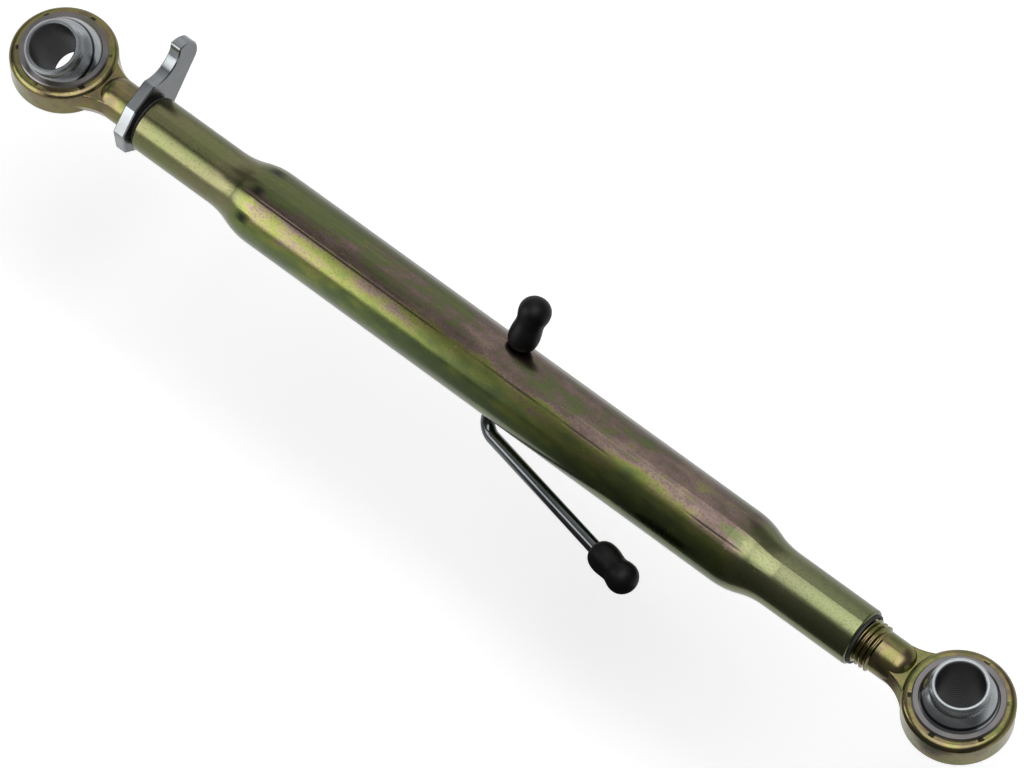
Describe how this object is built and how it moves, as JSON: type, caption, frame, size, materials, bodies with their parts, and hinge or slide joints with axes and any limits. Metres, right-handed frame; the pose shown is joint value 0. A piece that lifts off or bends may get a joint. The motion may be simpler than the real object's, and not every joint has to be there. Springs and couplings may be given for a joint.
{
  "type": "tractor top link",
  "caption": "Turnbuckle top link for a tractor's three-point hitch: swaged tube on opposed threads, a ball eye at each end, a lever lock nut and a swinging turning handle.",
  "frame": {"origin": "centre of the left ball, in the middle of its pin bore", "axes": "+X along the tube from the left ball to the right ball, +Z along the axis of both eyes and upwards as pictured, +Y across the link"},
  "size_m": [0.677, 0.1005, 0.0765],
  "materials": {
    "yellow_zinc": "yellow chromated zinc plating on steel",
    "bare_steel": "pressed steel, thinly plated",
    "ball_steel": "turned and hardened steel, smooth",
    "seal_rubber": "black rubber",
    "white_zinc": "bright zinc plating on steel",
    "black_plastic": "satin black moulded plastic"
  },
  "bodies": {
    "left_end": {"left_ball_end": "yellow_zinc", "left_retaining_ring": "bare_steel"},
    "left_ball": {"left_ball": "ball_steel"},
    "seal_rings": {"left_seal_ring": "seal_rubber", "right_seal_ring": "seal_rubber"},
    "tube": {"body_tube": "yellow_zinc"},
    "lock_nut": {"lock_nut": "white_zinc"},
    "handle": {"handle_rod": "white_zinc", "upper_knob": "black_plastic", "arm_knob": "black_plastic"},
    "right_end": {"right_ball_end": "yellow_zinc", "right_retaining_ring": "bare_steel"},
    "right_ball": {"right_ball": "ball_steel"}
  },
  "joints": [
    {"name": "tube_turn", "type": "hinge", "parent": "seal_rings", "child": "tube", "pos_m": [0.3085, 0, 0], "axis": [1, 0, 0], "range_deg": [0, 12630]},
    {"name": "tube_travel", "type": "slide", "parent": "left_end", "child": "seal_rings", "axis": [1, 0, 0], "range_m": [0, 0.1055]},
    {"name": "right_end_travel", "type": "slide", "parent": "left_end", "child": "right_end", "axis": [1, 0, 0], "range_m": [0, 0.21]},
    {"name": "lock_nut_turn", "type": "hinge", "parent": "tube", "child": "lock_nut", "pos_m": [0.055, 0, 0], "axis": [1, 0, 0], "range_deg": [-100, 0]},
    {"name": "handle_swing", "type": "hinge", "parent": "tube", "child": "handle", "pos_m": [0.3125, 0, 0], "axis": [0, 0.5446, 0.8387], "continuous": true},
    {"name": "left_ball_roll", "type": "hinge", "parent": "left_end", "child": "left_ball", "pos_m": [0, 0, 0], "axis": [1, 0, 0], "range_deg": [-39, 1]},
    {"name": "right_ball_roll", "type": "hinge", "parent": "right_end", "child": "right_ball", "pos_m": [0.617, 0, 0], "axis": [1, 0, 0], "range_deg": [-20, 20]}
  ],
  "couplings": [
    {"joint": "tube_turn", "follows": "right_end_travel", "rad_per_m": 1047.2},
    {"joint": "tube_travel", "follows": "right_end_travel", "ratio": 0.5}
  ]
}
